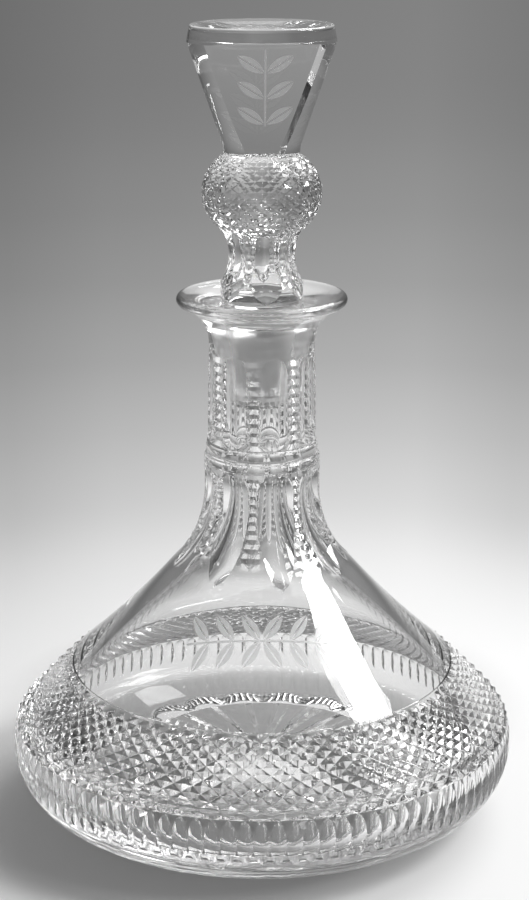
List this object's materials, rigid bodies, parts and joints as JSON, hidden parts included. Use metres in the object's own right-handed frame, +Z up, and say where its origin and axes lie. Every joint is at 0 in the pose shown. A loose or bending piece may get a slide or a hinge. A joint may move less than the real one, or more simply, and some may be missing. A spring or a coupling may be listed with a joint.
{
  "type": "ship's decanter",
  "caption": "Broad-based cut-glass decanter with a diamond-cut belt, a long notched and fluted neck and a lift-out ground-glass stopper with a diamond-cut bulb.",
  "frame": {"origin": "middle of the base, on the surface that the decanter stands on", "axes": "+Z up along the neck's axis; -Y faces the viewer of the picture; +X to the viewer's right"},
  "size_m": [0.1798, 0.1798, 0.2792],
  "materials": {
    "clear_glass": "polished cut crystal",
    "stopper_glass": "polished cut crystal with a ground matt peg"
  },
  "bodies": {
    "vessel": {"decanter": "clear_glass"},
    "stopper": {"stopper": "stopper_glass"}
  },
  "joints": [
    {"name": "stopper_lift", "type": "slide", "parent": "vessel", "child": "stopper", "axis": [0, 0, 1], "range_m": [0, 0.08]}
  ]
}
